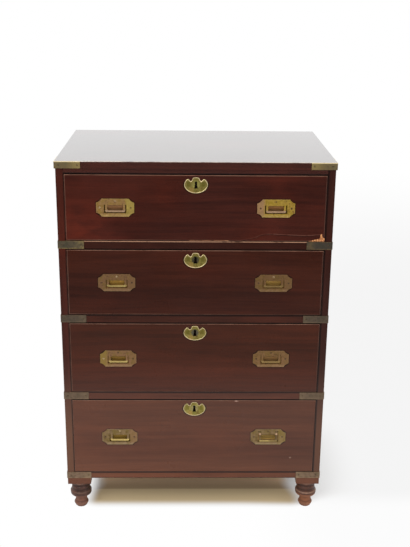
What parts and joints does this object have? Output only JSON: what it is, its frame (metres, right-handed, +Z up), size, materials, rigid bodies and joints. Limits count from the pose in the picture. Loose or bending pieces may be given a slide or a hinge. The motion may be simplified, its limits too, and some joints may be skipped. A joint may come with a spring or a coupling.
{
  "type": "chest of drawers",
  "caption": "Upright chest of drawers with flush swinging handles, key-operated drawer locks, wrapped corner straps and turned feet.",
  "frame": {"origin": "on the floor, under the middle of the top board's outline", "axes": "+X to the right seen from the front, -Y out of the drawer fronts, +Z up"},
  "size_m": [0.76, 0.5213, 1.0695],
  "materials": {
    "mahogany": "dark mahogany, old french polish, satin to gloss",
    "cedar_lining": "planed cedar, unpolished",
    "pine_board": "planed pine, unpolished, aged",
    "handle_brass": "cast brass, worn and tarnished",
    "strap_brass": "sheet brass, dark tarnish",
    "lock_iron": "wrought iron, dull"
  },
  "bodies": {
    "case": {"top_board": "mahogany", "case_side_left": "mahogany", "case_side_right": "mahogany", "divider_1": "mahogany", "divider_2": "mahogany", "divider_3": "mahogany", "base_board": "mahogany", "back_panel": "pine_board", "foot_front_left": "mahogany", "foot_front_right": "mahogany", "foot_back_left": "mahogany", "foot_back_right": "mahogany", "strap_1_left": "strap_brass", "strap_1_right": "strap_brass", "strap_2_left": "strap_brass", "strap_2_right": "strap_brass", "strap_3_left": "strap_brass", "strap_3_right": "strap_brass", "strap_base_left": "strap_brass", "strap_base_right": "strap_brass"},
    "drawer_1": {"drawer_1_front": "mahogany", "drawer_1_box": "cedar_lining", "drawer_1_bottom": "pine_board", "drawer_1_escutcheon": "handle_brass", "drawer_1_lock": "lock_iron", "drawer_1_handle_plate_left": "handle_brass", "drawer_1_handle_plate_right": "handle_brass"},
    "drawer_2": {"drawer_2_front": "mahogany", "drawer_2_box": "cedar_lining", "drawer_2_bottom": "pine_board", "drawer_2_escutcheon": "handle_brass", "drawer_2_lock": "lock_iron", "drawer_2_handle_plate_left": "handle_brass", "drawer_2_handle_plate_right": "handle_brass"},
    "drawer_3": {"drawer_3_front": "mahogany", "drawer_3_box": "cedar_lining", "drawer_3_bottom": "pine_board", "drawer_3_escutcheon": "handle_brass", "drawer_3_lock": "lock_iron", "drawer_3_handle_plate_left": "handle_brass", "drawer_3_handle_plate_right": "handle_brass"},
    "drawer_4": {"drawer_4_front": "mahogany", "drawer_4_box": "cedar_lining", "drawer_4_bottom": "pine_board", "drawer_4_escutcheon": "handle_brass", "drawer_4_lock": "lock_iron", "drawer_4_handle_plate_left": "handle_brass", "drawer_4_handle_plate_right": "handle_brass"},
    "bail_1_left": {"drawer_1_bail_left": "handle_brass"},
    "bail_1_right": {"drawer_1_bail_right": "handle_brass"},
    "bail_2_left": {"drawer_2_bail_left": "handle_brass"},
    "bail_2_right": {"drawer_2_bail_right": "handle_brass"},
    "bail_3_left": {"drawer_3_bail_left": "handle_brass"},
    "bail_3_right": {"drawer_3_bail_right": "handle_brass"},
    "bail_4_left": {"drawer_4_bail_left": "handle_brass"},
    "bail_4_right": {"drawer_4_bail_right": "handle_brass"},
    "bolt_1": {"drawer_1_lock_bolt": "lock_iron"},
    "bolt_2": {"drawer_2_lock_bolt": "lock_iron"},
    "bolt_3": {"drawer_3_lock_bolt": "lock_iron"},
    "bolt_4": {"drawer_4_lock_bolt": "lock_iron"}
  },
  "joints": [
    {"name": "drawer_1_slide", "type": "slide", "parent": "case", "child": "drawer_1", "axis": [0, -1, 0], "range_m": [0, 0.36]},
    {"name": "drawer_2_slide", "type": "slide", "parent": "case", "child": "drawer_2", "axis": [0, -1, 0], "range_m": [0, 0.36]},
    {"name": "drawer_3_slide", "type": "slide", "parent": "case", "child": "drawer_3", "axis": [0, -1, 0], "range_m": [0, 0.36]},
    {"name": "drawer_4_slide", "type": "slide", "parent": "case", "child": "drawer_4", "axis": [0, -1, 0], "range_m": [0, 0.36]},
    {"name": "bail_1_left_swing", "type": "hinge", "parent": "drawer_1", "child": "bail_1_left", "pos_m": [-0.2188, -0.2522, 0.95561], "axis": [-1, 0, 0], "range_deg": [0, 85]},
    {"name": "bail_1_right_swing", "type": "hinge", "parent": "drawer_1", "child": "bail_1_right", "pos_m": [0.2188, -0.2522, 0.95561], "axis": [-1, 0, 0], "range_deg": [0, 85]},
    {"name": "bail_2_left_swing", "type": "hinge", "parent": "drawer_2", "child": "bail_2_left", "pos_m": [-0.2188, -0.2522, 0.74076], "axis": [-1, 0, 0], "range_deg": [0, 85]},
    {"name": "bail_2_right_swing", "type": "hinge", "parent": "drawer_2", "child": "bail_2_right", "pos_m": [0.2188, -0.2522, 0.74076], "axis": [-1, 0, 0], "range_deg": [0, 85]},
    {"name": "bail_3_left_swing", "type": "hinge", "parent": "drawer_3", "child": "bail_3_left", "pos_m": [-0.2188, -0.2522, 0.51136], "axis": [-1, 0, 0], "range_deg": [0, 85]},
    {"name": "bail_3_right_swing", "type": "hinge", "parent": "drawer_3", "child": "bail_3_right", "pos_m": [0.2188, -0.2522, 0.51136], "axis": [-1, 0, 0], "range_deg": [0, 85]},
    {"name": "bail_4_left_swing", "type": "hinge", "parent": "drawer_4", "child": "bail_4_left", "pos_m": [-0.2188, -0.2522, 0.2607], "axis": [-1, 0, 0], "range_deg": [0, 85]},
    {"name": "bail_4_right_swing", "type": "hinge", "parent": "drawer_4", "child": "bail_4_right", "pos_m": [0.2188, -0.2522, 0.2607], "axis": [-1, 0, 0], "range_deg": [-22, 63]},
    {"name": "bolt_1_throw", "type": "slide", "parent": "drawer_1", "child": "bolt_1", "axis": [0, 0, 1], "range_m": [0, 0.007]},
    {"name": "bolt_2_throw", "type": "slide", "parent": "drawer_2", "child": "bolt_2", "axis": [0, 0, 1], "range_m": [0, 0.007]},
    {"name": "bolt_3_throw", "type": "slide", "parent": "drawer_3", "child": "bolt_3", "axis": [0, 0, 1], "range_m": [0, 0.007]},
    {"name": "bolt_4_throw", "type": "slide", "parent": "drawer_4", "child": "bolt_4", "axis": [0, 0, 1], "range_m": [0, 0.007]}
  ]
}
